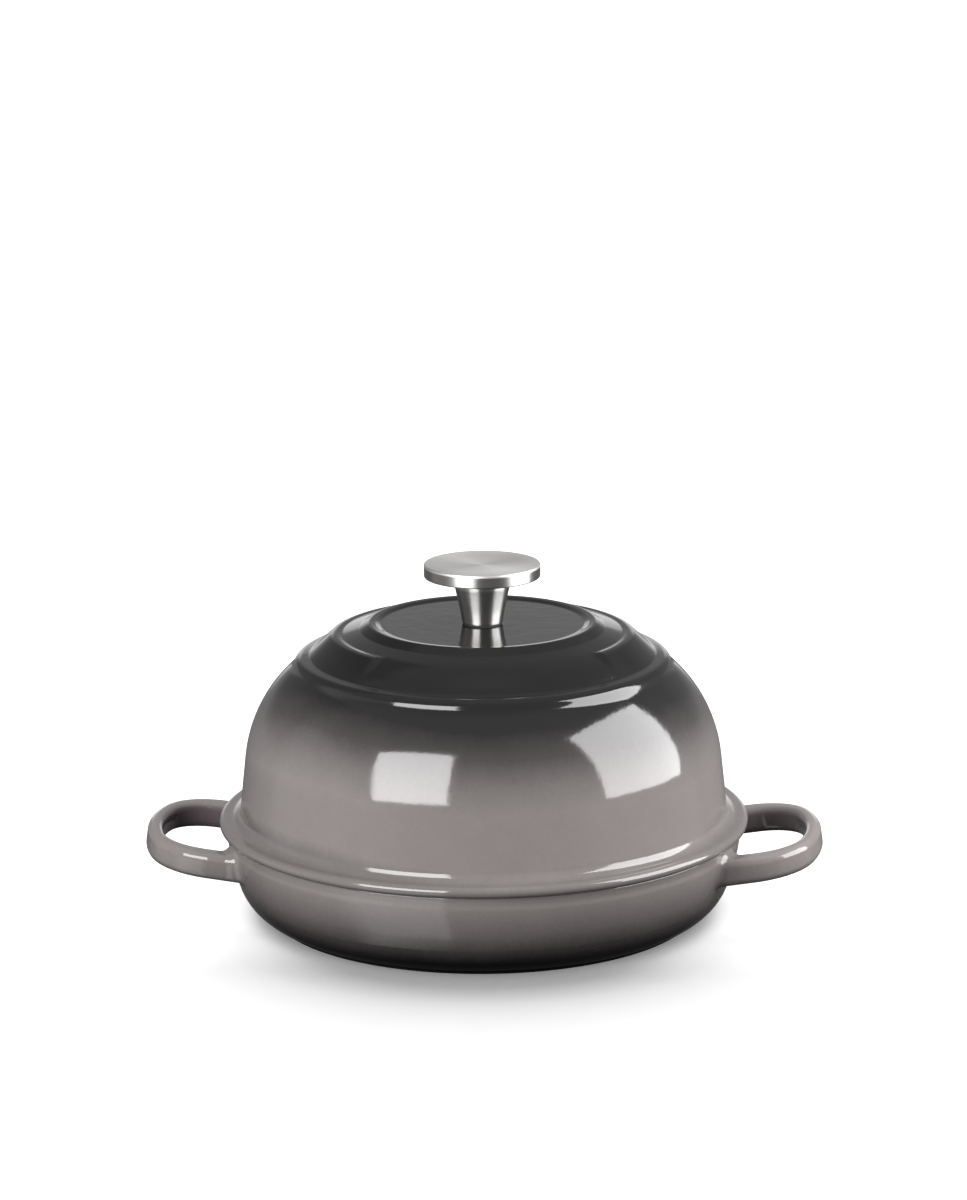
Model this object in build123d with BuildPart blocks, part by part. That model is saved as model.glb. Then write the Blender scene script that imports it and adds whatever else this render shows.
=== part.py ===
from build123d import *
import os
from math import acos, asin, atan2, cos, degrees, hypot, radians, sin, sqrt, tan

# Bread oven of enamelled cast iron: a shallow pan with two cast loop handles,
# a tall domed lid with a stepped top, and a screwed-on stainless steel knob.
# Millimetres and degrees. The pan stands on z = 0, its handles lie along X and its front faces -Y.

# Pan
rim_radius = 126.6
seam_height = 44.5
pan_wall = 4.6
pan_floor = 4.8
rim_draft = 3.35
side_radius = 96.5
corner_radius = 25.0
inner_corner_share = 0.88
rim_round = 1.4
foot_reach = 8.0
foot_width = 8.0
foot_recess = 1.3
foot_bevel = 0.4

# Ridges on the pan's floor, which keep the loaf off the iron
ridge_count = 8
ridge_first_radius = 22.0
ridge_margin = 10.3
ridge_width = 3.2
ridge_height = 1.1
ridge_slope = 55.0

# Loop handles, cast in one with the pan
handle_reach = 39.8
handle_drop = 5.4
handle_rise = 8.0
handle_half_width = 48.7
handle_corner_radius = 31.8
handle_tip_radius = 84.8
handle_tip_band = 7.9
handle_limb_band = 12.3
handle_height = 12.9
handle_edge_round = 3.5
handle_bury = 30.0
handle_blend = 5.0

# Lid: rim, flange and wall
lid_overhang = 3.4
lid_wall = 4.4
bead_radius = 3.35
flange_width = 12.85
flare_share = 0.8
wall_draft = 6.3
shoulder_radius = 67.85
shoulder_rise = 27.8
lip_depth = 2.8
lip_clearance = 0.7
lip_bevel = 0.8
crown_start = 50.0

# Lid: stepped top, from the outside in. Each step has a nearly level ledge inside its crest.
outer_foot_inset = 24.1
outer_foot_round = 10.0
outer_crest_inset = 26.3
outer_crest_rise = 84.6
outer_crest_round = 5.4
outer_ledge_width = 6.5
outer_ledge_rise = 0.9
middle_crest_inset = 44.05
middle_crest_rise = 96.3
middle_crest_round = 5.7
middle_ledge_width = 4.6
middle_ledge_drop = 0.2
ledge_round = 3.0
ring_foot_inset = 57.15
ring_foot_rise = 98.7
ring_roll = 4.8
ring_width = 3.0
ring_rise = 3.0
ring_round = 2.6
recess_run = 0.9
recess_depth = 1.2
recess_round = 0.6

# Front stretch of the top where the middle step gives way to a shallow curve
band_angle = 94.6
band_turn = 6.3
band_radius = 60.0
band_reach = 1.8
band_lift = 0.4

# Knob
knob_radius = 28.4
knob_thickness = 6.5
knob_bevel = 0.7
dish_margin = 5.9
dish_depth = 0.8
stem_length = 22.8
stem_foot_radius = 9.9
stem_foot_round = 0.6
stem_neck_radius = 11.7
stem_flare_radius = 13.5
stem_flare_height = 4.6
spigot_radius = 7.0
spigot_length = 2.4
gasket_thickness = 0.6
gasket_inset = 0.3

# Screw, washers and their clearances
screw_radius = 3.0
screw_grip = 12.0
screw_head_radius = 5.6
screw_head_height = 3.8
screw_head_round = 1.6
drive_length = 6.0
drive_width = 1.1
drive_depth = 2.0
washer_radius = 9.0
washer_thickness = 1.2
lock_washer_radius = 5.3
lock_washer_thickness = 1.5
lock_washer_gap = 1.4
screw_hole_clearance = 0.4
bore_clearance = 0.05
bore_end_clearance = 2.0
overrun = 2.0

os.makedirs("parts", exist_ok=True)


def on_circle(centre, radius, angle):
    """Point of a circle in a section, the angle counted up from the outward direction."""
    turn = radians(angle)
    return (centre[0] + radius * cos(turn), centre[1] + radius * sin(turn))


def ring_edge(piece, radius, height):
    """The circular edge of a piece that lies nearest to a radius and a height."""
    circles = piece.edges().filter_by(GeomType.CIRCLE)
    return circles.sort_by(lambda edge: hypot(edge.radius - radius, edge.arc_center.Z - height))[0]


# Pan section: a side arc that starts with the rim's draft, and a corner arc that would just touch the table
side_centre = on_circle((rim_radius, seam_height), side_radius, 180 - rim_draft)
corner_turn = degrees(asin((side_centre[1] - corner_radius) / (side_radius - corner_radius)))
corner_centre = on_circle(side_centre, side_radius - corner_radius, -corner_turn)
foot_radius = corner_centre[0] + foot_reach
foot_turn = degrees(atan2(sqrt(corner_radius**2 - foot_reach**2), foot_reach))

# Its inside: arcs of the same kind, which end tangent to the floor
floor_height = foot_recess + pan_floor
inner_side_radius = side_radius - pan_wall
inner_corner_radius = corner_radius * inner_corner_share
inner_reach = inner_side_radius - inner_corner_radius
inner_turn = degrees(asin((side_centre[1] - floor_height - inner_corner_radius) / inner_reach))
inner_corner_centre = on_circle(side_centre, inner_reach, -inner_turn)
inner_rim_turn = degrees(asin((side_centre[1] - seam_height) / inner_side_radius))
pan_inner_radius = on_circle(side_centre, inner_side_radius, -inner_rim_turn)[0]
ridge_pitch = (inner_corner_centre[0] - ridge_margin - ridge_first_radius) / (ridge_count - 1)

# Plane of the right handle, which rises towards its tip
rise = radians(handle_rise)
handle_tip = rim_radius + handle_reach
handle_plane = Plane(
    origin=(handle_tip, 0, seam_height - handle_drop),
    x_dir=(cos(rise), 0, sin(rise)),
    z_dir=(-sin(rise), 0, cos(rise)),
)
handle_root = -(handle_reach + handle_bury) / cos(rise)


def loop_plan(tip, half_width, corner, crown, root):
    """Plan of a loop: a flat arc at the tip, a corner arc on each side and two straight limbs."""
    turn = degrees(asin((half_width - corner) / (crown - corner)))
    limb_end = tip - crown + (crown - corner) * cos(radians(turn))
    with BuildSketch(handle_plane) as plan:
        with BuildLine():
            CenterArc((tip - crown, 0), crown, 0, turn)
            CenterArc((limb_end, half_width - corner), corner, turn, 90 - turn)
            Line((limb_end, half_width), (root, half_width))
            mirror(about=Plane.XZ)
            Line((root, half_width), (root, -half_width))
        make_face()
    return plan.sketch


handle_outline = loop_plan(0, handle_half_width, handle_corner_radius, handle_tip_radius, handle_root)
handle_hole = loop_plan(
    -handle_tip_band,
    handle_half_width - handle_limb_band,
    handle_corner_radius - (handle_tip_band + handle_limb_band) / 2,
    handle_tip_radius - handle_limb_band,
    handle_root - overrun,
)

with BuildPart() as handle:
    extrude(handle_outline, amount=handle_height / 2, both=True)
    extrude(handle_hole, amount=handle_height, both=True, mode=Mode.SUBTRACT)
    rims = handle.faces().sort_by(Axis(handle_plane.origin, handle_plane.z_dir))
    fillet(rims[0].edges() + rims[-1].edges(), radius=handle_edge_round)

with BuildPart() as base_pan:
    with BuildSketch(Plane.XZ) as bowl:
        with BuildLine():
            underside = Polyline(
                (0, foot_recess),
                (foot_radius - foot_width, foot_recess),
                (foot_radius - foot_width, 0),
                (foot_radius, 0),
                on_circle(corner_centre, corner_radius, -foot_turn),
            )
            CenterArc(corner_centre, corner_radius, -foot_turn, foot_turn - corner_turn)
            side = CenterArc(side_centre, side_radius, -corner_turn, corner_turn - rim_draft)
            Polyline(side @ 1, (0, seam_height), underside @ 0)
        make_face()
        fillet(bowl.vertices().sort_by(Axis.X)[-1], radius=rim_round)
        chamfer(bowl.vertices().group_by(Axis.Y)[0], length=foot_bevel)
    revolve(axis=Axis.Z)
    add(handle.part)
    mirror(handle.part, about=Plane.YZ)
    fillet(base_pan.edges().filter_by(GeomType.BSPLINE), radius=handle_blend)
    with BuildSketch(Plane.XZ):
        with BuildLine():
            inner_side = CenterArc(side_centre, inner_side_radius, -inner_rim_turn, inner_rim_turn - inner_turn)
            inner_corner = CenterArc(inner_corner_centre, inner_corner_radius, -inner_turn, inner_turn - 90)
            Polyline(
                inner_corner @ 1,
                (0, floor_height),
                (0, seam_height + overrun),
                (pan_inner_radius, seam_height + overrun),
                inner_side @ 0,
            )
        make_face()
    revolve(axis=Axis.Z, mode=Mode.SUBTRACT)
    fillet(ring_edge(base_pan, pan_inner_radius, seam_height), radius=rim_round)
    with BuildSketch(Plane.XZ):
        with Locations([(ridge_first_radius + ridge_pitch * i, floor_height) for i in range(ridge_count)]):
            Trapezoid(ridge_width, ridge_height, ridge_slope, align=(Align.CENTER, Align.MIN))
    revolve(axis=Axis.Z)

# Lid section: its heights are counted from the seam, its radii inward from its rim
lid_radius = rim_radius + lid_overhang
bead_centre = (lid_radius - bead_radius, seam_height + bead_radius)
flange_height = seam_height + 2 * bead_radius
dome_radius = lid_radius - flange_width
shoulder_centre = (dome_radius - shoulder_radius, seam_height + shoulder_rise)
wall_top = on_circle(shoulder_centre, shoulder_radius, wall_draft)
wall_slope = tan(radians(wall_draft))
wall_foot = (wall_top[0] + (wall_top[1] - flange_height) * wall_slope, flange_height)
flare_radius = (bead_centre[0] - wall_foot[0]) * flare_share

outer_foot_radius = dome_radius - outer_foot_inset
outer_foot_turn = degrees(acos((outer_foot_radius - shoulder_centre[0]) / shoulder_radius))
outer_foot = on_circle(shoulder_centre, shoulder_radius, outer_foot_turn)
outer_crest = (dome_radius - outer_crest_inset, seam_height + outer_crest_rise)
outer_ledge = (outer_crest[0] - outer_ledge_width, outer_crest[1] + outer_ledge_rise)
middle_crest = (dome_radius - middle_crest_inset, seam_height + middle_crest_rise)
middle_ledge = (middle_crest[0] - middle_ledge_width, middle_crest[1] - middle_ledge_drop)
ring_foot = (dome_radius - ring_foot_inset, seam_height + ring_foot_rise)
ring_outer = (ring_foot[0] - ring_roll, ring_foot[1] + ring_rise)
ring_inner = (ring_outer[0] - ring_width, ring_outer[1])
terrace_slope = (ring_foot[1] - middle_ledge[1]) / (middle_ledge[0] - ring_foot[0])
band_inner = (middle_ledge[0] - band_reach, middle_ledge[1] + band_reach * terrace_slope + band_lift)
band_outer = (outer_ledge[0] + band_reach, outer_ledge[1] + band_lift)
recess_height = ring_inner[1] - recess_depth
recess_edge = (ring_inner[0] - recess_run, recess_height)

inner_shoulder_radius = shoulder_radius - lid_wall
inner_wall_top = on_circle(shoulder_centre, inner_shoulder_radius, wall_draft)
lip_height = seam_height - lip_depth
lip_outer = pan_inner_radius - lip_clearance
lip_inner = inner_wall_top[0] + (inner_wall_top[1] - lip_height) * wall_slope
ceiling_height = recess_height - lid_wall
crown_sine = sin(radians(crown_start))
crown_drop = ceiling_height - shoulder_centre[1] - inner_shoulder_radius * crown_sine
crown_radius = crown_drop / (1 - crown_sine)
crown_centre = on_circle(shoulder_centre, inner_shoulder_radius - crown_radius, crown_start)
screw_hole_radius = screw_radius + screw_hole_clearance
band_start = Plane.XZ.rotated((0, 0, band_turn - 90 - band_angle / 2))

with BuildPart() as dome_lid:
    with BuildSketch(Plane.XZ):
        with BuildLine():
            steps = FilletPolyline(
                (screw_hole_radius, recess_height),
                recess_edge,
                ring_inner,
                ring_outer,
                ring_foot,
                middle_ledge,
                middle_crest,
                outer_ledge,
                outer_crest,
                outer_foot,
                radius=[
                    recess_round,
                    recess_round,
                    ring_round,
                    ring_round,
                    ledge_round,
                    middle_crest_round,
                    ledge_round,
                    outer_crest_round,
                ],
            )
            CenterArc(shoulder_centre, shoulder_radius, outer_foot_turn, wall_draft - outer_foot_turn)
            FilletPolyline(wall_top, wall_foot, (bead_centre[0], flange_height), radius=flare_radius)
            bead = CenterArc(bead_centre, bead_radius, 90, -180)
            Polyline(
                bead @ 1,
                (lip_outer, seam_height),
                (lip_outer, lip_height),
                (lip_inner, lip_height),
                inner_wall_top,
            )
            CenterArc(shoulder_centre, inner_shoulder_radius, wall_draft, crown_start - wall_draft)
            crown = CenterArc(crown_centre, crown_radius, crown_start, 90 - crown_start)
            Polyline(crown @ 1, (screw_hole_radius, ceiling_height), steps @ 0)
        make_face()
    revolve(axis=Axis.Z)
    fillet(ring_edge(dome_lid, outer_foot_radius, outer_foot[1]), radius=outer_foot_round)
    chamfer(dome_lid.edges().group_by(Axis.Z)[0], length=lip_bevel)
    with BuildSketch(band_start):
        with BuildLine():
            band = RadiusArc(band_inner, band_outer, -band_radius)
            Polyline(
                band @ 1,
                (band_outer[0], ring_foot[1]),
                (band_inner[0], ring_foot[1]),
                band @ 0,
            )
        make_face()
    revolve(axis=Axis.Z, revolution_arc=band_angle, mode=Mode.SUBTRACT)

# Knob: a turned disc on a flared stem, centred by the stem's spigot
stem_foot = recess_height + gasket_thickness
stem_top = stem_foot + stem_length
knob_top = stem_top + knob_thickness

with BuildPart() as stem_gasket:
    with BuildSketch(Plane.XY.offset(recess_height)):
        Circle(stem_foot_radius - gasket_inset)
        Circle(screw_hole_radius, mode=Mode.SUBTRACT)
    extrude(amount=gasket_thickness)

with BuildPart() as knob_stem:
    with BuildSketch(Plane.XZ):
        with BuildLine():
            foot = Line((0, stem_foot), (stem_foot_radius, stem_foot))
            cone = Line(foot @ 1, (stem_neck_radius, stem_top - stem_flare_height))
            flare = TangentArc(cone @ 1, (stem_flare_radius, stem_top), tangent=cone % 1)
            Polyline(
                flare @ 1,
                (spigot_radius, stem_top),
                (spigot_radius, stem_top + spigot_length),
                (0, stem_top + spigot_length),
                foot @ 0,
            )
        make_face()
    revolve(axis=Axis.Z)
    fillet(knob_stem.edges().group_by(Axis.Z)[0], radius=stem_foot_round)
    with BuildSketch(Plane.XY.offset(stem_foot)):
        Circle(screw_radius + bore_clearance)
    extrude(amount=screw_grip + bore_end_clearance, mode=Mode.SUBTRACT)

with BuildPart() as knob_disc:
    with BuildSketch(Plane.XY.offset(stem_top)):
        Circle(knob_radius)
    extrude(amount=knob_thickness)
    chamfer(knob_disc.edges().filter_by(GeomType.CIRCLE), length=knob_bevel)
    dish_sphere = ((knob_radius - dish_margin) ** 2 + dish_depth**2) / (2 * dish_depth)
    with Locations((0, 0, knob_top - dish_depth + dish_sphere)):
        Sphere(dish_sphere, mode=Mode.SUBTRACT)
    with BuildSketch(Plane.XY.offset(stem_top)):
        Circle(spigot_radius + bore_clearance)
    extrude(amount=spigot_length + bore_clearance, mode=Mode.SUBTRACT)

# Fastening, from the lid's ceiling down: flat washer, split washer, pan-head screw
lock_washer_seat = ceiling_height - washer_thickness
head_seat = lock_washer_seat - lock_washer_thickness
head_face = head_seat - screw_head_height

with BuildPart() as screw_washer:
    with BuildSketch(Plane.XY.offset(ceiling_height)):
        Circle(washer_radius)
        Circle(screw_hole_radius, mode=Mode.SUBTRACT)
    extrude(amount=-washer_thickness)

with BuildPart() as lock_washer:
    with BuildSketch(Plane.XY.offset(lock_washer_seat)):
        Circle(lock_washer_radius)
        Circle(screw_hole_radius, mode=Mode.SUBTRACT)
        with Locations((lock_washer_radius, 0)):
            Rectangle(2 * lock_washer_radius, lock_washer_gap, mode=Mode.SUBTRACT)
    extrude(amount=-lock_washer_thickness)

with BuildPart() as knob_screw:
    with BuildSketch(Plane.XY.offset(head_seat)):
        Circle(screw_radius)
    extrude(amount=stem_foot + screw_grip - head_seat)
    with BuildSketch(Plane.XY.offset(head_seat)):
        Circle(screw_head_radius)
    extrude(amount=-screw_head_height)
    fillet(knob_screw.edges().group_by(Axis.Z)[0], radius=screw_head_round)
    with BuildSketch(Plane.XY.offset(head_face)):
        Rectangle(drive_length, drive_width)
        Rectangle(drive_width, drive_length)
    extrude(amount=drive_depth, mode=Mode.SUBTRACT)

base_pan.part.label = "base_pan"
dome_lid.part.label = "dome_lid"
stem_gasket.part.label = "stem_gasket"
knob_stem.part.label = "knob_stem"
knob_disc.part.label = "knob_disc"
knob_screw.part.label = "knob_screw"
screw_washer.part.label = "screw_washer"
lock_washer.part.label = "lock_washer"

export_step(base_pan.part, "parts/base_pan.step")
export_step(dome_lid.part, "parts/dome_lid.step")
export_step(stem_gasket.part, "parts/stem_gasket.step")
export_step(knob_stem.part, "parts/knob_stem.step")
export_step(knob_disc.part, "parts/knob_disc.step")
export_step(knob_screw.part, "parts/knob_screw.step")
export_step(screw_washer.part, "parts/screw_washer.step")
export_step(lock_washer.part, "parts/lock_washer.step")
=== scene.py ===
import math

import bpy
import numpy as np
from mathutils import Matrix, Vector


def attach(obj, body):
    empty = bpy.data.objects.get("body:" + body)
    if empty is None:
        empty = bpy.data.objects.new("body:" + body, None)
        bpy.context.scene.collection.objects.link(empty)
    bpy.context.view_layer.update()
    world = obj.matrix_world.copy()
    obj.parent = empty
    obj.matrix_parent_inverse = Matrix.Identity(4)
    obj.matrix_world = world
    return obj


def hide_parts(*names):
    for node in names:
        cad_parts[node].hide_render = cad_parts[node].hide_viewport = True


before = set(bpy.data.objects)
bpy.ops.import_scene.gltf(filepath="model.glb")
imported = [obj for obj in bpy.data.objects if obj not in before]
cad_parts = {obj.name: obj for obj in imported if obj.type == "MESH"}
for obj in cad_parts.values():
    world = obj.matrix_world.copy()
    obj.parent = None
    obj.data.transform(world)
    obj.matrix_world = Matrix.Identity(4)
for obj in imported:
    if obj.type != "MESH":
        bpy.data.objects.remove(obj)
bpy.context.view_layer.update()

# Bread oven of enamelled cast iron. Sections are in millimetres as (radius, height) and turned about Z;
# the meshes are in metres.
MM = 0.001

# Pan, as far as the materials need it
SEAM = 44.5
PAN_SIDE_CENTRE = (30.26, 50.14)
PAN_INNER_SIDE = 91.9
PAN_FLOOR = 6.1
PAN_SIDE_END = 130.5
PAN_MATT_RIM = 127.3
BARE_FOOT = 2.6
RIM_BAND_FOOT = 39.0
RIM_BAND_STEP = 0.32
LOOP_START = 129.5
LOOP_MIDDLE = 139.0
# Painted shade on the walls of the handles' holes: its depth, and how much deeper it is on the left ones
LOOP_PAINTED_SHADE = 0.29
LOOP_PAINTED_SHADE_CHANGE = 0.13

# Lid
LID_RADIUS = 129.99
LID_WALL = 4.4
BEAD = 2.5
SHOULDER = 67.85
SHOULDER_CENTRE = (49.3, 72.3)
WALL_DRAFT = 6.3
FLARE = 5.0
LIP_OUTER = 121.29
LIP_HEIGHT = 41.7
CROWN_START = 50.0
CROWN_CENTRE = (35.97, 56.42)
CROWN = 84.18
CEILING = 140.6
HOLE = 3.4
RECESS = (49.7, 145.0)
RING_INNER = (52.2, 145.94)
RING_OUTER = (55.2, 146.2)
RING_FOOT = (60.0, 143.2)
MIDDLE_LEDGE = (68.5, 140.52)
MIDDLE_CREST = (73.1, 140.98)
OUTER_LEDGE = (84.35, 130.0)
OUTER_CREST = (90.85, 129.1)
OUTER_FOOT = (93.05, 124.16)
OUTER_FOOT_ROUND = 10.0
BAND_CORNER = (75.58, 138.43)
BAND_ROUND = 40.0
BAND_ANGLE = 94.6
BAND_TURN = 6.3
BAND_FADE = 1.8
SLOPE_SHARE = 0.12
STEP_POINTS = 96
LID_TURNS = 240

# Knob
STEM_FOOT = 145.6
STEM_TOP = 168.4
STEM_SECTION = [(13.5, STEM_TOP), (13.4, 163.2), (10.9, 152.0), (9.9, STEM_FOOT), (0.0, STEM_FOOT)]
STEM_ROUNDS = [6.0, 30.0, 0.6]
KNOB_TOP = 174.9
KNOB_RADIUS = 28.4
DISH_RADIUS = 22.5
DISH_DEPTH = 0.8

# Studio, turned with the camera about Z
CAMERA_TURN = 2.9
CAMERA_TARGET = 0.062
CAMERA_DISTANCE = 2.1
CAMERA_ELEVATION = 15.895
CAMERA_PITCH = 13.388
CAMERA_YAW = 0.017
CAMERA_ROLL = -0.386
FOCAL_PIXELS = 4262.98
IMAGE_HEIGHT = 1200
SENSOR = 36.0
CAMERA_CLIP = (0.1, 50)
FLOOR_REACH = 8.0
FLOOR_GLOW = 0.12
FLOOR_GLOW_BEHIND = 0.45
FLOOR_GLOW_RING = 0.09

# Room's light: (share of the way from straight down to straight up, level)
ROOM_STRENGTH = 0.8
ROOM_STOPS = [
    (0.0, 0.03),
    (0.30, 0.04),
    (0.42, 0.19),
    (0.50, 0.44),
    (0.60, 0.42),
    (0.72, 0.33),
    (0.88, 0.34),
    (1.0, 0.50),
]

# Brighter and darker patches of the room, in degrees: (azimuths, their blurs, elevations, their blur, change)
ROOM_PATCHES = [
    ((-14, 14), (8, 8), (-6, 11), 5, 1.05),
    ((-14, 14), (8, 8), (9, 19), 4, 0.05),
    ((-66, -18), (14, 8), (4, 56), 10, -0.20),
    ((18, 50), (8, 14), (4, 30), 10, -0.12),
    ((-161.5, -112), (3, 30), (-52, -10), 9, 1.4),
    ((-140, -62), (20, 16), (-20, 30), 16, 0.32),
    ((62, 130), (16, 20), (-20, 20), 16, 0.30),
]
SUN_ENERGY = 3.2
SUN_SPREAD = 70.0
SUN_TILT = 27.0

# Softboxes in metres, as the camera sees the studio: (name, place, across, up, width, height, power in watts)
SOFTBOXES = [
    (
        "left_softbox",
        (-0.490, -0.6664, 0.4447),
        (0.924, -0.378, 0.051),
        (0.063, 0.284, 0.957),
        0.586, 0.603, 13.0,
    ),
    (
        "right_softbox",
        (0.8071, -0.0976, 0.4762),
        (0.264, 0.962, -0.065),
        (-0.238, 0.13, 0.963),
        0.797, 0.807, 20.0,
    ),
]

# Enamel's shades from 0 to 255, by share of the height that they are spread over
LID_SHADES = [
    # Painted shade: the two lowest stops, darker than the wall's, darken the bead and the groove of the
    # flange; the rest is the enamel's own colour by height.
    (0.0, (97, 92, 91)),
    (0.09, (92, 88, 87)),
    (0.15, (106, 101, 100)),
    (0.42, (105, 100, 99)),
    (0.56, (86, 82, 81)),
    (0.68, (55, 52, 52)),
    (0.80, (29, 28, 28)),
    (0.90, (23, 23, 23)),
    (1.0, (20, 20, 20)),
]
PAN_SHADES = [
    (0.0, (8, 8, 8)),
    (0.16, (14, 13, 13)),
    (0.34, (53, 50, 50)),
    (0.52, (84, 80, 79)),
    (0.80, (104, 99, 98)),
    (1.0, (106, 101, 100)),
]
LID_SHADES_TOP = 140.0
PAN_SHADES_TOP = 48.0


def on_circle(centre, radius, angle):
    """Point of a circle in a section: the centre plus the radius along the angle, in degrees up from
    outward."""
    turn = math.radians(angle)
    return (centre[0] + radius * math.cos(turn), centre[1] + radius * math.sin(turn))


def arc(centre, radius, start, end, step=2.5):
    """Arc of a circle: the centre plus the radius along angles evenly spaced from start to end, in
    degrees."""
    count = max(3, int(abs(end - start) / step) + 1)
    turn = np.radians(np.linspace(start, end, count))
    return np.stack([centre[0] + radius * np.cos(turn), centre[1] + radius * np.sin(turn)], 1)


def line(a, b, spacing=6.0):
    """Straight run: a plus shares of the way to b, closer together near the ends to keep the shading
    flat."""
    a, b = np.array(a, float), np.array(b, float)
    length = float(np.hypot(*(b - a)))
    near = np.array([0.0, 0.12, 0.5])
    near = near[near < length / 2]
    even = np.linspace(0, length, int(length / spacing) + 2)[1:-1]
    even = even[(even > near[-1] * 1.5) & (even < length - near[-1] * 1.5)]
    stops = np.unique(np.concatenate([near, even, length - near]))
    return a + (b - a) * (stops / length)[:, None]


def rounded(corners, radii, step=7.0, spacing=6.0):
    """Straight runs between corners. At each inner corner an arc of its radius touches both runs: its
    centre lies on the bisector, its ends where the tangents from the corner are radius / tan(half the
    corner's angle) long."""
    points = [np.array(p, float) for p in corners]
    runs, last = [], points[0]
    for before, corner, after, radius in zip(points, points[1:], points[2:], radii):
        back = (before - corner) / np.hypot(*(before - corner))
        ahead = (after - corner) / np.hypot(*(after - corner))
        half = math.acos(float(np.clip(back @ ahead, -1, 1))) / 2
        reach = radius / math.tan(half)
        middle = (back + ahead) / np.hypot(*(back + ahead))
        centre = corner + middle * radius / math.sin(half)
        first, second = corner + back * reach, corner + ahead * reach
        start = math.degrees(math.atan2(*(first - centre)[::-1]))
        turn = (math.degrees(math.atan2(*(second - centre)[::-1])) - start + 180) % 360 - 180
        runs += [line(last, first, spacing), arc(centre, radius, start, start + turn, step)]
        last = second
    runs.append(line(last, points[-1], spacing))
    return joined(runs)


def joined(runs):
    """Runs one after the other, without the points that repeat the one before."""
    chain = np.vstack(runs)
    keep = np.r_[True, np.hypot(*np.diff(chain, axis=0).T) > 1e-4]
    return chain[keep]


def evenly(chain, count):
    """The chain's points again at evenly spaced lengths along it."""
    along = np.r_[0, np.cumsum(np.hypot(*np.diff(chain, axis=0).T))]
    stops = np.linspace(0, along[-1], count)
    return np.stack([np.interp(stops, along, chain[:, k]) for k in (0, 1)], 1)


def build_mesh(name, points, faces):
    """Mesh of the points, in millimetres, and the faces, a list of arrays of equal-sided faces, shaded
    smooth."""
    mesh = bpy.data.meshes.new(name)
    loops = np.concatenate([f.ravel() for f in faces])
    sides = np.concatenate([np.full(len(f), f.shape[1]) for f in faces])
    mesh.vertices.add(len(points))
    mesh.vertices.foreach_set("co", (points * MM).astype(np.float32).ravel())
    mesh.loops.add(len(loops))
    mesh.loops.foreach_set("vertex_index", loops.astype(np.int32))
    mesh.polygons.add(len(sides))
    mesh.polygons.foreach_set("loop_start", np.r_[0, np.cumsum(sides)[:-1]].astype(np.int32))
    mesh.update(calc_edges=True)
    mesh.validate()
    mesh.shade_smooth()
    piece = bpy.data.objects.new(name, mesh)
    bpy.context.scene.collection.objects.link(piece)
    return piece


def round_about(name, sections, angles):
    """Closed skin turned about Z. sections is (angle, point, 2): the point (r, z) of the section at angle a
    goes to x = r cos a, y = r sin a. The sections run outward over the top and back inward below, so faces
    point outwards. A section that starts and ends on the axis is closed there by single poles, any other by
    joining its ends."""
    turn = np.radians(angles)[:, None]
    radius, height = sections[..., 0], sections[..., 1]
    grid = np.stack([radius * np.cos(turn), radius * np.sin(turn), height], -1)
    count, length = radius.shape
    if radius.max(0)[0] < 1e-6 and radius.max(0)[-1] < 1e-6:
        ring = grid[:, 1:-1]
        points = np.vstack([ring.reshape(-1, 3), grid[0, :1], grid[0, -1:]])
        index = np.arange(count * (length - 2)).reshape(count, length - 2)
        turned = np.roll(index, -1, 0)
        quads = np.stack([index[:, :-1], index[:, 1:], turned[:, 1:], turned[:, :-1]], -1).reshape(-1, 4)
        top, bottom = len(points) - 2, len(points) - 1
        start = np.stack([np.full(count, top), index[:, 0], turned[:, 0]], -1)
        end = np.stack([np.full(count, bottom), turned[:, -1], index[:, -1]], -1)
        return build_mesh(name, points, [quads, start, end])
    index = np.arange(count * length).reshape(count, length)
    turned = np.roll(index, -1, 0)
    onward, turned_on = np.roll(index, -1, 1), np.roll(turned, -1, 1)
    quads = np.stack([index, onward, turned_on, turned], -1).reshape(-1, 4)
    return build_mesh(name, grid.reshape(-1, 3), [quads])


def even_turn(section, count):
    """The same section at evenly spaced angles all the way round."""
    return np.repeat(section[None], count, 0), np.arange(count) * 360.0 / count


def ease(t):
    """Smooth step from 0 to 1: 3 t squared minus 2 t cubed."""
    t = np.clip(t, 0, 1)
    return t * t * (3 - 2 * t)


def foot_fillet():
    """Centre and end angle of the hollow fillet between the outer riser and the shoulder. The centre lies
    one fillet radius outside the riser's line and a shoulder radius plus a fillet radius from the
    shoulder's centre."""
    start, centre = np.array(OUTER_CREST), np.array(SHOULDER_CENTRE)
    along = (np.array(OUTER_FOOT) - start) / np.hypot(*(np.array(OUTER_FOOT) - start))
    outward = np.array([-along[1], along[0]])
    offset = start + outward * OUTER_FOOT_ROUND - centre
    half = offset @ along
    travel = -half - math.sqrt(half**2 - offset @ offset + (SHOULDER + OUTER_FOOT_ROUND) ** 2)
    middle = centre + offset + along * travel
    return middle, start + along * travel, math.degrees(math.atan2(*(middle - centre)[::-1]))


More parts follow.
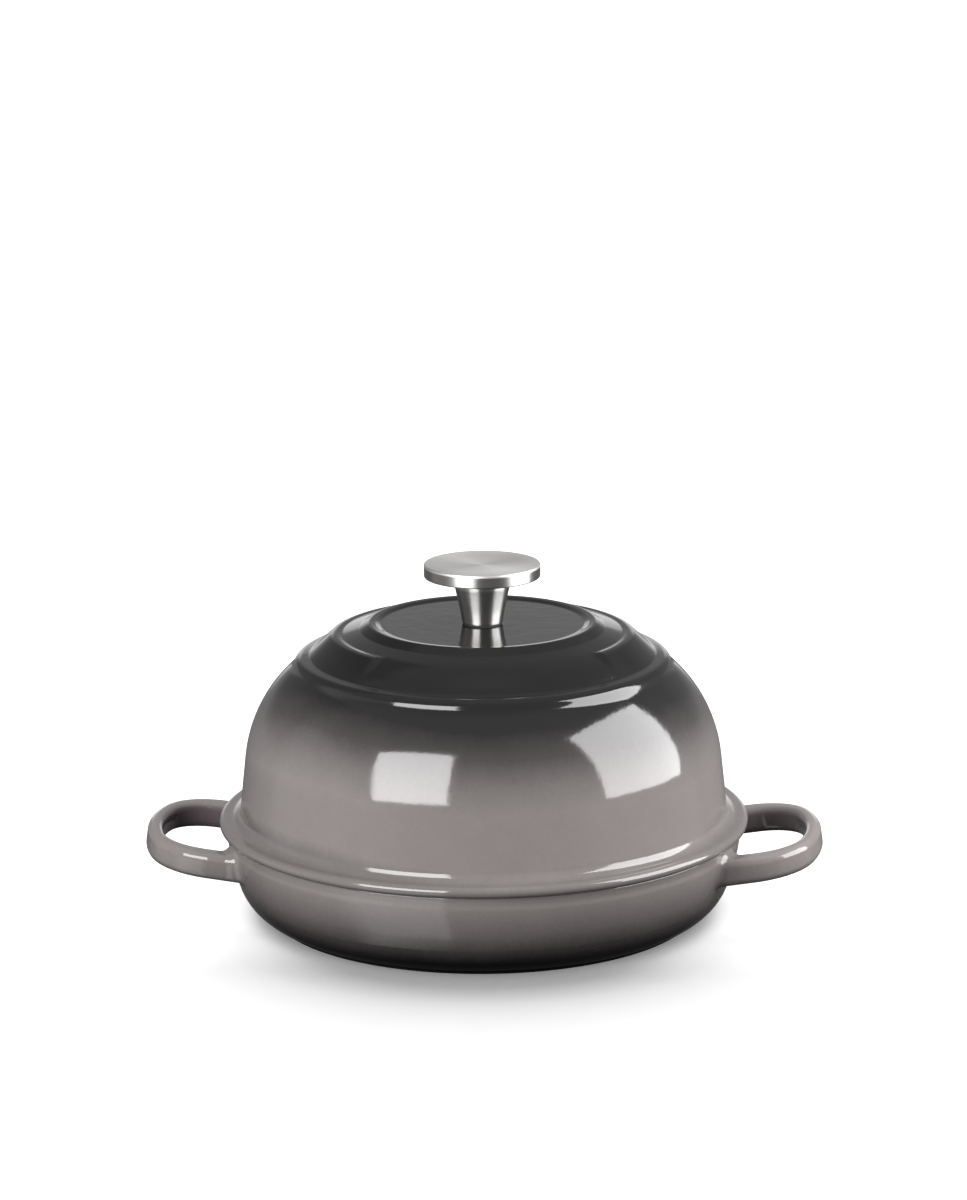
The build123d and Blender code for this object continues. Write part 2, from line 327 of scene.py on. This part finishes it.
def make_lid():
    """Dome with a stepped top, turned about Z. From the screw hole outward: recess, rolled ring, ledge,
    middle crest, slope, ledge, outer crest, riser, hollow fillet, shoulder arc, drafted wall, flared
    flange, half-round bead, lip, and back inside along the wall, shoulder and crown arcs. Over the front
    band a shallow arc takes the middle crest's place: there each point lies between the stepped and the
    plain section by a share that eases over a few degrees."""
    wall_top = on_circle(SHOULDER_CENTRE, SHOULDER, WALL_DRAFT)
    slope = math.tan(math.radians(WALL_DRAFT))
    flange = SEAM + 2 * BEAD
    wall_foot = (wall_top[0] + (wall_top[1] - flange) * slope, flange)
    bead_centre = (LID_RADIUS - BEAD, SEAM + BEAD)
    ring_middle = tuple((np.array(RING_OUTER) + RING_FOOT) / 2)
    slope_end = tuple(np.array(OUTER_LEDGE) + SLOPE_SHARE * (np.array(MIDDLE_CREST) - OUTER_LEDGE))
    centre = [(HOLE, RECESS[1]), RECESS, RING_INNER, RING_OUTER, ring_middle]
    centre_run = rounded(centre, [2.0, 0.8, 2.6], 4, 9)
    stepped = rounded([ring_middle, RING_FOOT, MIDDLE_LEDGE, MIDDLE_CREST, slope_end], [2.6, 3.0, 5.7], 4, 3)
    plain = rounded([ring_middle, RING_FOOT, BAND_CORNER, slope_end], [2.6, BAND_ROUND], 2, 3)
    stepped, plain = evenly(stepped, STEP_POINTS), evenly(plain, STEP_POINTS)

    hollow_centre, riser_end, shoulder_start = foot_fillet()
    hollow_start = math.degrees(math.atan2(*(riser_end - hollow_centre)[::-1]))
    hollow_turn = (shoulder_start + 180 - hollow_start) % 360
    inner_shoulder = SHOULDER - LID_WALL
    inner_wall_top = on_circle(SHOULDER_CENTRE, inner_shoulder, WALL_DRAFT)
    lip_inner = inner_wall_top[0] + (inner_wall_top[1] - LIP_HEIGHT) * slope
    outside = joined([
        rounded([slope_end, OUTER_LEDGE, OUTER_CREST, tuple(riser_end)], [3.0, 5.4], 4, 3),
        arc(hollow_centre, OUTER_FOOT_ROUND, hollow_start, hollow_start + hollow_turn, 3),
        arc(SHOULDER_CENTRE, SHOULDER, shoulder_start, WALL_DRAFT, 1.5),
        rounded([wall_top, wall_foot, (bead_centre[0], flange)], [FLARE], step=5),
        arc(bead_centre, BEAD, 90, -90, 9),
        rounded(
            [
                (bead_centre[0], SEAM),
                (LIP_OUTER, SEAM),
                (LIP_OUTER, LIP_HEIGHT),
                (lip_inner, LIP_HEIGHT),
                inner_wall_top,
            ],
            [0.4, 0.8, 0.8],
            step=30,
        ),
        arc(SHOULDER_CENTRE, inner_shoulder, WALL_DRAFT, CROWN_START, 3),
        arc(CROWN_CENTRE, CROWN, CROWN_START, 90, 3),
        line((CROWN_CENTRE[0], CEILING), (HOLE, CEILING), 12),
    ])
    full = np.vstack([centre_run, stepped[1:], outside[1:]])
    bare = np.vstack([centre_run, plain[1:], outside[1:]])
    middle = BAND_TURN - 90
    ends = np.array([middle - BAND_ANGLE / 2, middle + BAND_ANGLE / 2])
    close = (ends[:, None] + np.arange(-BAND_FADE, BAND_FADE + 0.1, 0.3)).ravel() % 360
    angles = np.unique(np.round(np.r_[np.arange(LID_TURNS) * 360 / LID_TURNS, close], 3))
    apart = np.abs((angles - middle + 180) % 360 - 180)
    bareness = ease((BAND_ANGLE / 2 + BAND_FADE - apart) / (2 * BAND_FADE))
    sections = full + (bare - full) * bareness[:, None, None]
    return round_about("dome_lid_enamel", sections, angles)


def make_knob_disc():
    """Turned disc with softened edges and a shallow dish: a flat rim, and inside it a circle's arc that is
    lowest on the axis."""
    sphere = (DISH_RADIUS**2 + DISH_DEPTH**2) / (2 * DISH_DEPTH)
    half = math.degrees(math.asin(DISH_RADIUS / sphere))
    dish = arc((0, KNOB_TOP - DISH_DEPTH + sphere), sphere, -90, -90 + half, half / 16)
    rim = rounded(
        [dish[-1], (KNOB_RADIUS, KNOB_TOP), (KNOB_RADIUS, STEM_TOP), (0, STEM_TOP)],
        [0.7, 0.7],
        step=10,
        spacing=3,
    )
    return round_about("knob_disc_turned", *even_turn(joined([dish, rim]), 256))


def make_knob_stem():
    """Stem that widens upward from its foot in two slight cones with eased corners, up to a short straight
    neck under the disc."""
    section = joined([
        line((0.0, STEM_TOP), STEM_SECTION[0], 4),
        rounded(STEM_SECTION, STEM_ROUNDS, step=2, spacing=3),
    ])
    return round_about("knob_stem_turned", *even_turn(section, 192))


class Value:
    """A socket's number in a material, on which the operators + - * / ** add Math nodes. A plain number may
    also stand before + and -."""

    def __init__(self, tree, socket):
        self.tree, self.socket = tree, socket

    def math(self, operation, *values, clamp=False):
        settings = {"operation": operation, "use_clamp": clamp}
        return self.tree.node("ShaderNodeMath", settings, dict(enumerate((self, *values))))

    def __add__(self, other):
        return self.math("ADD", other)

    __radd__ = __add__

    def __sub__(self, other):
        return self.math("SUBTRACT", other)

    def __mul__(self, other):
        return self.math("MULTIPLY", other)

    def __truediv__(self, other):
        return self.math("DIVIDE", other)

    def __pow__(self, other):
        return self.math("POWER", other)

    def __rsub__(self, other):
        return self.tree.node("ShaderNodeMath", {"operation": "SUBTRACT"}, {0: other, 1: self})

    def above(self, edge, width):
        """0 below the edge and 1 above it, easing over the width."""
        settings = {"interpolation_type": "SMOOTHSTEP"}
        inputs = {"Value": self, "From Min": edge - width / 2, "From Max": edge + width / 2}
        return self.tree.node("ShaderNodeMapRange", settings, inputs)

    def between(self, low, high, width):
        """1 between the two edges and 0 outside them, easing over the width."""
        return self.above(low, width) - self.above(high, width)


class Nodes:
    """A node tree under construction."""

    def __init__(self, node_tree):
        self.node_tree = node_tree
        self.node_tree.nodes.clear()

    def node(self, kind, settings=None, inputs=None, output=0):
        """One node of that kind: first its settings, a ramp's stops among them, then the values or links of
        its sockets. Returns the named or numbered output."""
        made = self.node_tree.nodes.new(kind)
        for key, value in (settings or {}).items():
            if key == "stops":
                self.set_stops(made.color_ramp, value)
            else:
                setattr(made, key, value)
        for key, value in (inputs or {}).items():
            if isinstance(value, Value):
                self.node_tree.links.new(value.socket, made.inputs[key])
            else:
                made.inputs[key].default_value = value
        return Value(self, made.outputs[output]) if made.outputs else None

    def parts(self, vector):
        """The three coordinates of a vector."""
        return [self.node("ShaderNodeSeparateXYZ", None, {0: vector}, axis) for axis in "XYZ"]

    @staticmethod
    def set_stops(ramp, stops):
        """Places the ramp's stops: (place, colour) pairs."""
        while len(ramp.elements) < len(stops):
            ramp.elements.new(1.0)
        for element, (place, colour) in zip(ramp.elements, stops):
            element.position, element.color = place, (*colour, 1.0)


class Finish(Nodes):
    """A material under construction. Lengths in it are millimetres of the object's own coordinates."""

    def __init__(self, name):
        self.material = bpy.data.materials.new(name)
        self.material.use_nodes = True
        super().__init__(self.material.node_tree)
        place = self.node("ShaderNodeTexCoord", output="Object")
        self.place = self.node("ShaderNodeVectorMath", {"operation": "SCALE"}, {0: place, "Scale": 1 / MM})
        self.x, self.y, self.z = self.parts(self.place)
        self.radius = (self.x * self.x + self.y * self.y).math("SQRT")
        from_front = self.node("ShaderNodeMath", {"operation": "ARCTAN2"}, {0: self.x, 1: 0 - self.y})
        self.azimuth = from_front * (180 / math.pi)

    def noise(self, scale, detail=2.0, roughness=0.5, at=None):
        """Noise from 0 to 1, its lumps about scale millimetres across."""
        inputs = {"Vector": at or self.place, "Scale": 1 / scale, "Detail": detail, "Roughness": roughness}
        return self.node("ShaderNodeTexNoise", None, inputs, "Fac")

    def mix(self, share, first, second):
        """Colour between the first and the second by the share."""
        inputs = {0: share, 6: first, 7: second}
        return self.node("ShaderNodeMix", {"data_type": "RGBA"}, inputs, 2)

    def bump(self, height, strength=1.0):
        """Normal bent by a height in millimetres."""
        inputs = {"Height": height, "Distance": MM, "Strength": strength}
        return self.node("ShaderNodeBump", None, inputs, "Normal")

    def shader(self, **inputs):
        """A principled shader with those inputs on its own sockets."""
        named = {key.replace("_", " "): value for key, value in inputs.items()}
        return self.node("ShaderNodeBsdfPrincipled", None, named, "BSDF")

    def finished(self, shader):
        """The material with that shader as its surface."""
        self.node("ShaderNodeOutputMaterial", None, {"Surface": shader})
        return self.material


def rgb(red, green, blue):
    """A screen colour from 0 to 255 as linear light."""
    share = np.array([red, green, blue]) / 255
    linear = np.where(share <= 0.04045, share / 12.92, ((share + 0.055) / 1.055) ** 2.4)
    return tuple(float(v) for v in linear)


def tone(red, green, blue):
    """A screen colour from 0 to 255 as a colour socket takes it, in linear light and opaque."""
    return (*rgb(red, green, blue), 1)


def grey_enamel(name, stops, low, high, inside, painted_light_front_left, elsewhere, darker, bare, relief):
    """Gloss enamel coloured by height from low to high, with the sprayed edge's drift, a faint mottle and the
    slight waviness of glaze over a sand casting. elsewhere shifts the spray's reach higher or lower outside
    the front-left quarter, in millimetres; that quarter's own shift paints it lighter where the left softbox
    shines: painted light. Stops are its shades from 0 to 255 by share of that height. inside(finish) is the
    mask of the matt black enamel, darker(finish) dims places with painted shade and tints them a little
    purple, bare(finish) is the mask of matt iron and relief(finish) a height in millimetres."""
    finish = Finish(name)
    drift = finish.noise(38, 2, 0.55) * 5 + finish.noise(3.0, 2, 0.6) * 2.4 - 3.7
    # Painted light: the front-left quarter, where the left softbox shines, takes its own height shift, which
    # paints that side lighter.
    left = finish.azimuth.between(-76, -24, 40)
    share = (finish.z + drift + left * (painted_light_front_left - elsewhere) + elsewhere - low) / (high - low)
    stops = [(place, rgb(*shade)) for place, shade in stops]
    colour = finish.node("ShaderNodeValToRGB", {"stops": stops}, {"Fac": share}, "Color")
    # Painted shade: darker(finish) darkens the colour where it is below 1, and tints it a little purple.
    dimming = darker(finish)
    mottle = (finish.noise(1.6, 3, 0.6) * 0.16 + finish.noise(14, 2) * 0.10 + 0.87) * dimming
    channels = {0: mottle, 1: mottle * dimming**0.2, 2: mottle}
    tint = finish.node("ShaderNodeCombineColor", None, channels, "Color")
    settings = {"data_type": "RGBA", "blend_type": "MULTIPLY"}
    colour = finish.node("ShaderNodeMix", settings, {0: 1.0, 6: colour, 7: tint}, 2)
    within = inside(finish)
    black = finish.mix(finish.noise(0.7, 2), tone(17, 17, 18), tone(30, 30, 31))
    colour = finish.mix(within, colour, black)
    wave = finish.noise(9, 2, 0.5) * 0.055 + finish.noise(2.4, 2, 0.5) * 0.018
    grain = finish.noise(0.55, 2, 0.6) * 0.05
    height = wave + (grain - wave) * within
    gloss = 0.075 + finish.noise(6, 2) * 0.035
    roughness = gloss + (finish.noise(1.2, 2) * 0.12 + 0.34 - gloss) * within
    glazed = finish.bump(height + relief(finish))
    glaze = finish.shader(Base_Color=colour, Roughness=roughness, IOR=1.5, Normal=glazed)
    skin = finish.mix(finish.noise(0.7, 2), tone(7, 7, 7), tone(17, 17, 17))
    iron = finish.shader(Base_Color=skin, Roughness=0.9, Specular_IOR_Level=0.05, Normal=finish.bump(grain))
    return finish.finished(finish.node("ShaderNodeMixShader", None, {0: bare(finish), 1: glaze, 2: iron}))


def no_painted_shade(finish):
    """No painted shade."""
    return 1.0


def no_bare_iron(finish):
    """No place without enamel."""
    return 0.0


def painted_shade_in_loops(finish):
    """Painted shade on the walls of the handles' holes that face their middle: the grey is darkened and
    tinted a little purple there, the left ones the most."""
    normal = finish.node("ShaderNodeTexCoord", output="Normal")
    nx, ny, nz = finish.parts(normal)
    from_middle = finish.x.math("ABSOLUTE") - LOOP_MIDDLE
    outward = finish.x.math("SIGN") * nx * from_middle + ny * finish.y
    facing = (0 - outward).above(2.0, 4.0) * (1 - nz.math("ABSOLUTE").above(0.55, 0.5))
    shade_depth = LOOP_PAINTED_SHADE - finish.x.math("SIGN") * LOOP_PAINTED_SHADE_CHANGE
    return 1 - facing * finish.x.math("ABSOLUTE").above(LOOP_START, 2.0) * shade_depth


def no_relief(finish):
    """No relief beyond the glaze's own waviness."""
    return 0.0


def rim_step(finish):
    """The pan's side stands out by a fraction of a millimetre below its rim band."""
    side = 1 - finish.radius.above(PAN_SIDE_END, 4.0)
    return (1 - finish.z.above(RIM_BAND_FOOT, 3.4)) * side * RIM_BAND_STEP


def foot_iron(finish):
    """The foot ring stands bare of gloss, up to a few millimetres."""
    return 1 - finish.z.above(BARE_FOOT, 2.4)


def lid_inside(finish):
    """Inside of the lid: nearer the axis than the middle of its wall, or under the middle of its crown, or
    lower than the seam."""
    centre_r, centre_z = SHOULDER_CENTRE
    reach = SHOULDER - LID_WALL / 2
    out = (finish.radius - centre_r).math("MAXIMUM", 0.0)
    up = (finish.z - centre_z).math("MAXIMUM", 0.0)
    from_centre = (out * out + up * up).math("SQRT")
    wall = (centre_z - finish.z).math("MAXIMUM", 0.0) * math.tan(math.radians(WALL_DRAFT))
    inner = 1 - (from_centre - wall).above(reach, 0.2)
    ceiling = 1 - finish.z.above(CEILING + 1.5, 0.2)
    seam = 1 - finish.z.above(SEAM + 0.5, 0.4)
    return (inner * ceiling).math("MAXIMUM", seam)


def pan_inside(finish):
    """Inside of the pan: nearer the axis than the middle of its wall, above the middle of its floor, or on
    the rim."""
    centre_r, centre_z = PAN_SIDE_CENTRE
    out = finish.radius - centre_r
    down = centre_z - finish.z
    from_centre = (out.math("MAXIMUM", 0.0) ** 2.0 + down * down).math("SQRT")
    inner = 1 - from_centre.above(PAN_INNER_SIDE + 2.0, 0.2)
    floor = finish.z.above(PAN_FLOOR - 2.5, 0.2)
    rim = finish.z.above(SEAM - 0.35, 0.5) * (1 - finish.radius.above(PAN_MATT_RIM, 0.3))
    return (inner * floor).math("MAXIMUM", rim)


def turned_steel():
    """Stainless steel off the lathe: fine rings on the faces and fine lines round the sides, which stretch
    each reflection across them, both bent by a faint chatter. The disc's top is satin, and its colour is
    painted paler than the side's: painted light."""
    finish = Finish("turned_steel")
    along_section = {0: finish.radius * 9.0, 1: finish.z * 9.0, 2: 0.0}
    rings = finish.noise(1.0, 3, 0.65, finish.node("ShaderNodeCombineXYZ", None, along_section))
    round_about_axis = {0: finish.azimuth * 0.028, 1: finish.radius * 3.0, 2: finish.z * 3.0}
    chatter = finish.noise(1.0, 2, 0.5, finish.node("ShaderNodeCombineXYZ", None, round_about_axis))
    top = finish.z.above(KNOB_TOP - 1.2, 0.6)
    side = finish.shader(
        Base_Color=finish.mix(rings, tone(148, 147, 146), tone(192, 191, 189)),
        Metallic=1.0,
        Roughness=rings * 0.10 + chatter * 0.06 + 0.26,
        Anisotropic=0.9,
        Anisotropic_Rotation=0.25,
        Normal=finish.bump(rings * 0.010 + chatter * 0.008),
    )
    # Painted light: the top's colour is painted paler than the side's; its rougher satin finish is the
    # steel's own.
    satin = finish.shader(
        Base_Color=finish.mix(rings, tone(216, 215, 213), tone(248, 247, 245)),
        Metallic=1.0,
        Roughness=rings * 0.10 + chatter * 0.08 + 0.38,
        Anisotropic=0.4,
        Anisotropic_Rotation=0.25,
        Normal=finish.bump(rings * 0.014 + chatter * 0.006),
    )
    return finish.finished(finish.node("ShaderNodeMixShader", None, {0: top, 1: side, 2: satin}))


def zinc_steel():
    """Bright zinc plating with a faint mottle, for the screw and washers inside the lid."""
    finish = Finish("zinc_steel")
    mottle = finish.noise(0.8, 3, 0.6)
    return finish.finished(finish.shader(
        Base_Color=finish.mix(mottle, tone(150, 150, 150), tone(188, 188, 186)),
        Metallic=1.0,
        Roughness=mottle * 0.2 + 0.2,
        Normal=finish.bump(finish.noise(0.3, 2) * 0.008),
    ))


def silicone():
    """Matt black silicone with fine dust speckle."""
    finish = Finish("black_silicone")
    speck = finish.noise(0.4, 3, 0.7)
    return finish.finished(finish.shader(
        Base_Color=finish.mix(speck, tone(14, 14, 14), tone(34, 34, 33)),
        Roughness=speck * 0.2 + 0.55,
        Normal=finish.bump(speck * 0.02),
    ))


def floor_paint():
    """White table with a barely visible grain. It gives off painted light of its own, more of it behind the
    front third and away from the pan's foot, and a little more in a ring about the foot; where it gives off
    less, it paints the pan's shadow darker."""
    finish = Finish("pale_floor")
    grain = finish.noise(30, 3)
    # Painted light on the floor: a glow whose layout shapes the pan's shadow.
    glow = finish.y.above(-78, 66) * finish.radius.above(114, 18) * FLOOR_GLOW_BEHIND
    glow = glow + finish.radius.between(98, 136, 24) * FLOOR_GLOW_RING + FLOOR_GLOW
    return finish.finished(finish.shader(
        Base_Color=finish.mix(grain, (0.86, 0.86, 0.86, 1), (0.89, 0.89, 0.89, 1)),
        Roughness=0.9,
        Specular_IOR_Level=0.1,
        Emission_Color=finish.node("ShaderNodeCombineColor", None, {0: glow, 1: glow, 2: glow}, "Color"),
        Emission_Strength=1.0,
    ))


def room_light():
    """Light of the studio's walls, ceiling and table by direction: a level for each elevation, and patches
    of their own where something brighter or darker stands. Azimuths count from the direction behind the
    object, positive towards the camera's right. Seen by itself the room is white."""
    world = bpy.data.worlds.new("room_light")
    world.use_nodes = True
    room = Nodes(world.node_tree)
    x, y, z = room.parts(room.node("ShaderNodeTexCoord", output="Generated"))
    turn = math.radians(CAMERA_TURN)
    right = x * math.cos(turn) + y * math.sin(turn)
    behind = y * math.cos(turn) - x * math.sin(turn)
    azimuth = room.node("ShaderNodeMath", {"operation": "ARCTAN2"}, {0: right, 1: behind}) * (180 / math.pi)
    elevation = z.math("ARCSINE") * (180 / math.pi)
    stops = [(place, (grey, grey, grey)) for place, grey in ROOM_STOPS]
    ramp = room.node("ShaderNodeValToRGB", {"stops": stops}, {"Fac": elevation / 180 + 0.5}, "Color")
    level = room.node("ShaderNodeSeparateColor", None, {0: ramp})
    for (start, end), (start_blur, end_blur), heights, blur, change in ROOM_PATCHES:
        across = azimuth.above(start, start_blur) - azimuth.above(end, end_blur)
        patch = across * elevation.between(*heights, blur)
        level = level + patch * change
    seen = room.node("ShaderNodeLightPath", output="Is Camera Ray")
    strength = level * ROOM_STRENGTH + (1 - level * ROOM_STRENGTH) * seen
    inputs = {"Color": (1, 1, 1, 1), "Strength": strength}
    light = room.node("ShaderNodeBackground", None, inputs, "Background")
    room.node("ShaderNodeOutputWorld", None, {"Surface": light})
    return world


def studio_turned(x, y, z):
    """A direction given as the camera sees the studio, turned into the object's frame."""
    turn = math.radians(CAMERA_TURN)
    return Vector((x * math.cos(turn) - y * math.sin(turn), x * math.sin(turn) + y * math.cos(turn), z))


def softbox(name, place, across, up, width, height, power, unlit):
    """Softbox whose face spans the directions across and up and shines towards the object. Its place and
    directions are those of the studio. It leaves out the floor, whose light comes from the ceiling, the
    room and its own glow."""
    lamp = bpy.data.lights.new(name, "AREA")
    lamp.shape = "RECTANGLE"
    lamp.size, lamp.size_y = width, height
    lamp.energy = power
    box = bpy.data.objects.new(name, lamp)
    centre, up = studio_turned(*place), studio_turned(*up)
    x = studio_turned(*across).normalized()
    y = (up - up.dot(x) * x).normalized()
    z = x.cross(y)
    if z.dot(centre) < 0:
        x, z = -x, -z
    box.matrix_world = Matrix.Translation(centre) @ Matrix((x, y, z)).transposed().to_4x4()
    bpy.context.scene.collection.objects.link(box)
    box.light_linking.receiver_collection = bpy.data.collections.new("lit_by_" + name)
    box.light_linking.receiver_collection.objects.link(unlit)
    box.light_linking.receiver_collection.collection_objects[0].light_linking.link_state = "EXCLUDE"


def ceiling_light():
    """Broad light from above and a little behind, which the glaze doesn't mirror."""
    sun = bpy.data.lights.new("ceiling_light", "SUN")
    sun.energy = SUN_ENERGY
    sun.angle = math.radians(SUN_SPREAD)
    lamp = bpy.data.objects.new("ceiling_light", sun)
    turn = Matrix.Rotation(math.radians(CAMERA_TURN), 4, "Z")
    lamp.matrix_world = turn @ Matrix.Rotation(-math.radians(SUN_TILT), 4, "X")
    lamp.visible_glossy = False
    bpy.context.scene.collection.objects.link(lamp)


def pale_floor():
    """Flat floor that shows only to the camera and catches the shadow."""
    side = FLOOR_REACH / MM
    points = np.array([[-side, -side, 0], [side, -side, 0], [side, side, 0], [-side, side, 0]])
    floor = build_mesh("floor", points, [np.array([[0, 1, 2, 3]])])
    floor.data.materials.append(floor_paint())
    floor.visible_glossy = floor.visible_diffuse = False
    return floor


def set_camera():
    """Camera at its distance and elevation from the target, then turned by its own pitch, yaw and roll."""
    camera = bpy.data.cameras.new("camera")
    camera.sensor_width = SENSOR
    camera.lens = FOCAL_PIXELS / IMAGE_HEIGHT * SENSOR
    camera.clip_start, camera.clip_end = CAMERA_CLIP
    viewer = bpy.data.objects.new("camera", camera)
    turn = Matrix.Rotation(math.radians(CAMERA_TURN), 4, "Z")
    elevation = math.radians(CAMERA_ELEVATION)
    back, up = CAMERA_DISTANCE * math.cos(elevation), CAMERA_DISTANCE * math.sin(elevation)
    stand = Vector((0, -back, CAMERA_TARGET + up))
    aim = (
        Matrix.Rotation(-math.radians(CAMERA_YAW), 4, "Z")
        @ Matrix.Rotation(math.radians(90 - CAMERA_PITCH), 4, "X")
        @ Matrix.Rotation(math.radians(CAMERA_ROLL), 4, "Z")
    )
    viewer.matrix_world = turn @ Matrix.Translation(stand) @ aim
    bpy.context.scene.collection.objects.link(viewer)
    bpy.context.scene.camera = viewer


lid_enamel = grey_enamel(
    "lid_enamel",
    LID_SHADES,
    low=SEAM,
    high=LID_SHADES_TOP,
    inside=lid_inside,
    # Painted light: this shift paints the lid's front-left quarter lighter.
    painted_light_front_left=-1.9,
    elsewhere=4.5,
    darker=no_painted_shade,
    bare=no_bare_iron,
    relief=no_relief,
)
pan_enamel = grey_enamel(
    "pan_enamel",
    PAN_SHADES,
    low=0.0,
    high=PAN_SHADES_TOP,
    inside=pan_inside,
    # Painted light: this shift paints the pan's front-left quarter lighter.
    painted_light_front_left=1.2,
    elsewhere=0.0,
    # Painted shade on the walls of the handles' holes.
    darker=painted_shade_in_loops,
    bare=foot_iron,
    relief=rim_step,
)
steel = turned_steel()
zinc = zinc_steel()
rubber = silicone()

for maker, node, material, slot_name in (
    (make_lid, "dome_lid", lid_enamel, "grey_enamel"),
    (make_knob_disc, "knob_disc", steel, "knob_steel"),
    (make_knob_stem, "knob_stem", steel, "knob_steel"),
):
    piece = maker()
    piece.data.materials.append(material)
    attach(piece, "lid")
    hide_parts(node)

for node, material, slot_name in (
    ("base_pan", pan_enamel, "grey_enamel"),
    ("knob_screw", zinc, "fastener_steel"),
    ("screw_washer", zinc, "fastener_steel"),
    ("lock_washer", zinc, "fastener_steel"),
    ("stem_gasket", rubber, "gasket_rubber"),
):
    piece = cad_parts[node]
    piece.data.materials.clear()
    piece.data.materials.append(material)

bpy.context.scene.world = room_light()
floor = pale_floor()
ceiling_light()
for box in SOFTBOXES:
    softbox(*box, floor)
set_camera()
bpy.context.scene.view_settings.view_transform = "Standard"
